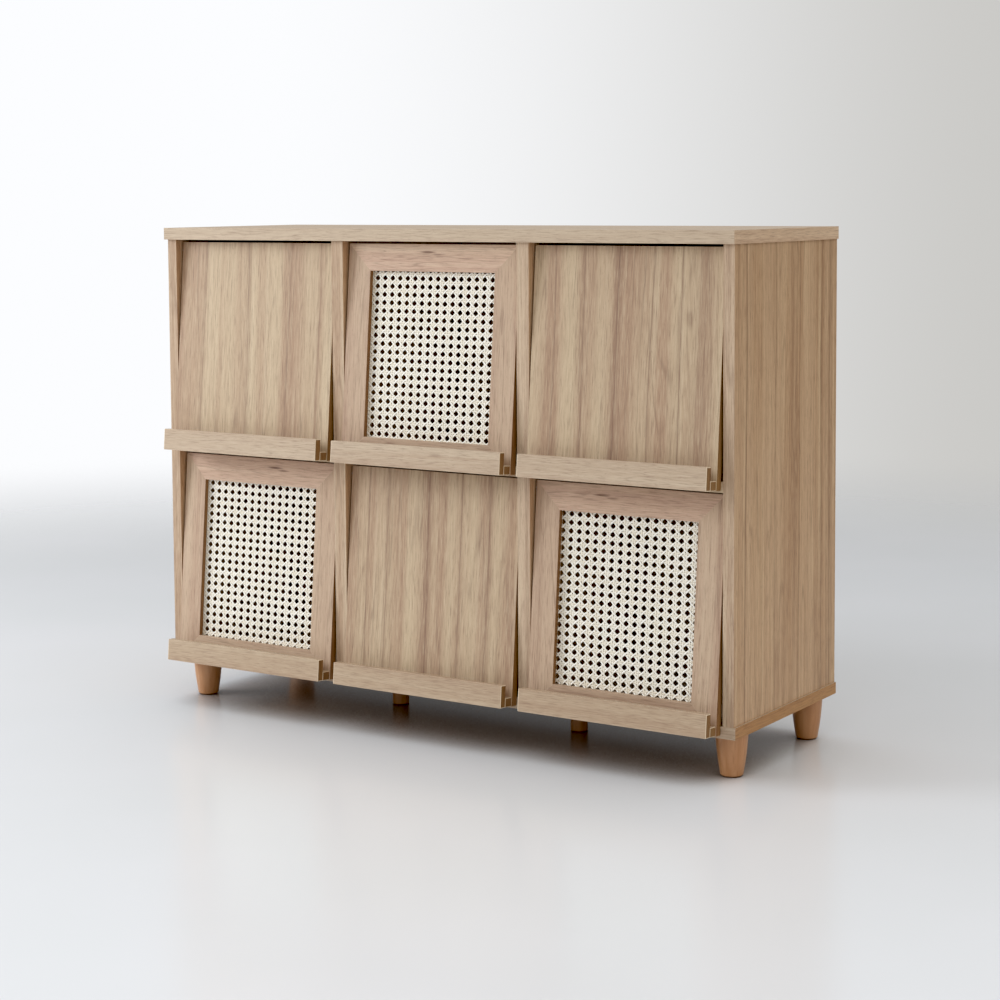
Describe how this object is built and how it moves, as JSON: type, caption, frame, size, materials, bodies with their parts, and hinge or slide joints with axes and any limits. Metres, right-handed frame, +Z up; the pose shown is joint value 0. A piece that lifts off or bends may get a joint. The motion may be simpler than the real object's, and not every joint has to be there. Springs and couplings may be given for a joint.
{
  "type": "flap-door display cabinet",
  "caption": "Low oak-finish cabinet on turned legs; slab and cane flap doors hang from pins at their tops, lean out at the foot and carry magazine ledges.",
  "frame": {"origin": "on the floor, under the centre of the cabinet's overall box, ledges included", "axes": "+X to the cabinet's right as seen from the front, -Y to the front, +Z up"},
  "size_m": [1.2, 0.4424, 0.9],
  "materials": {
    "flat_panel_oak": "oak woodgrain melamine, grain along the panel, matt",
    "upright_panel_oak": "oak woodgrain melamine, grain upright, matt",
    "door_panel_oak": "oak woodgrain melamine, grain upright, matt",
    "door_frame_oak": "oak woodgrain foil on mitred mouldings, matt",
    "ledge_oak": "oak woodgrain melamine, grain along the ledge, matt",
    "back_board": "thin printed hardboard, matt",
    "leg_wood": "turned solid wood, clear satin lacquer",
    "cane": "woven cane webbing, natural cream, satin",
    "dowel_wood": "fluted beech dowel, raw",
    "pin_steel": "turned steel, satin",
    "zinc_plated_steel": "zinc plated",
    "zinc_alloy": "die-cast zinc alloy, dull"
  },
  "bodies": {
    "carcass": {"top_panel": "flat_panel_oak", "bottom_panel": "flat_panel_oak", "left_side_panel": "upright_panel_oak", "right_side_panel": "upright_panel_oak", "left_partition": "upright_panel_oak", "right_partition": "upright_panel_oak", "left_shelf": "flat_panel_oak", "middle_shelf": "flat_panel_oak", "right_shelf": "flat_panel_oak", "left_back_panel": "back_board", "middle_back_panel": "back_board", "right_back_panel": "back_board", "front_left_leg": "leg_wood", "front_right_leg": "leg_wood", "middle_left_leg": "leg_wood", "middle_right_leg": "leg_wood", "rear_left_leg": "leg_wood", "rear_right_leg": "leg_wood", "leg_bolts": "zinc_plated_steel", "leg_insert_nuts": "zinc_alloy", "cam_bolts": "zinc_plated_steel", "cam_nuts": "zinc_alloy", "wooden_dowels": "dowel_wood", "door_support_pegs": "pin_steel"},
    "upper_left_door": {"upper_left_door_panel": "door_panel_oak", "upper_left_ledge_strip": "ledge_oak", "upper_left_ledge_lip": "ledge_oak", "upper_left_pivot_pins": "pin_steel"},
    "upper_middle_door": {"upper_middle_top_rail": "door_frame_oak", "upper_middle_bottom_rail": "door_frame_oak", "upper_middle_left_stile": "door_frame_oak", "upper_middle_right_stile": "door_frame_oak", "upper_middle_cane_panel": "cane", "upper_middle_ledge_strip": "ledge_oak", "upper_middle_ledge_lip": "ledge_oak", "upper_middle_pivot_pins": "pin_steel"},
    "upper_right_door": {"upper_right_door_panel": "door_panel_oak", "upper_right_ledge_strip": "ledge_oak", "upper_right_ledge_lip": "ledge_oak", "upper_right_pivot_pins": "pin_steel"},
    "lower_left_door": {"lower_left_top_rail": "door_frame_oak", "lower_left_bottom_rail": "door_frame_oak", "lower_left_left_stile": "door_frame_oak", "lower_left_right_stile": "door_frame_oak", "lower_left_cane_panel": "cane", "lower_left_ledge_strip": "ledge_oak", "lower_left_ledge_lip": "ledge_oak", "lower_left_pivot_pins": "pin_steel"},
    "lower_middle_door": {"lower_middle_door_panel": "door_panel_oak", "lower_middle_ledge_strip": "ledge_oak", "lower_middle_ledge_lip": "ledge_oak", "lower_middle_pivot_pins": "pin_steel"},
    "lower_right_door": {"lower_right_top_rail": "door_frame_oak", "lower_right_bottom_rail": "door_frame_oak", "lower_right_left_stile": "door_frame_oak", "lower_right_right_stile": "door_frame_oak", "lower_right_cane_panel": "cane", "lower_right_ledge_strip": "ledge_oak", "lower_right_ledge_lip": "ledge_oak", "lower_right_pivot_pins": "pin_steel"}
  },
  "joints": [
    {"name": "upper_left_door_hinge", "type": "hinge", "parent": "carcass", "child": "upper_left_door", "pos_m": [-0.393, -0.14698, 0.8574], "axis": [-1, 0, 0], "range_deg": [0, 85]},
    {"name": "upper_middle_door_hinge", "type": "hinge", "parent": "carcass", "child": "upper_middle_door", "pos_m": [0, -0.14698, 0.8574], "axis": [-1, 0, 0], "range_deg": [0, 85]},
    {"name": "upper_right_door_hinge", "type": "hinge", "parent": "carcass", "child": "upper_right_door", "pos_m": [0.393, -0.14698, 0.8574], "axis": [-1, 0, 0], "range_deg": [0, 85]},
    {"name": "lower_left_door_hinge", "type": "hinge", "parent": "carcass", "child": "lower_left_door", "pos_m": [-0.393, -0.14698, 0.4569], "axis": [-1, 0, 0], "range_deg": [0, 85]},
    {"name": "lower_middle_door_hinge", "type": "hinge", "parent": "carcass", "child": "lower_middle_door", "pos_m": [0, -0.14698, 0.4569], "axis": [-1, 0, 0], "range_deg": [0, 85]},
    {"name": "lower_right_door_hinge", "type": "hinge", "parent": "carcass", "child": "lower_right_door", "pos_m": [0.393, -0.14698, 0.4569], "axis": [-1, 0, 0], "range_deg": [0, 85]}
  ]
}
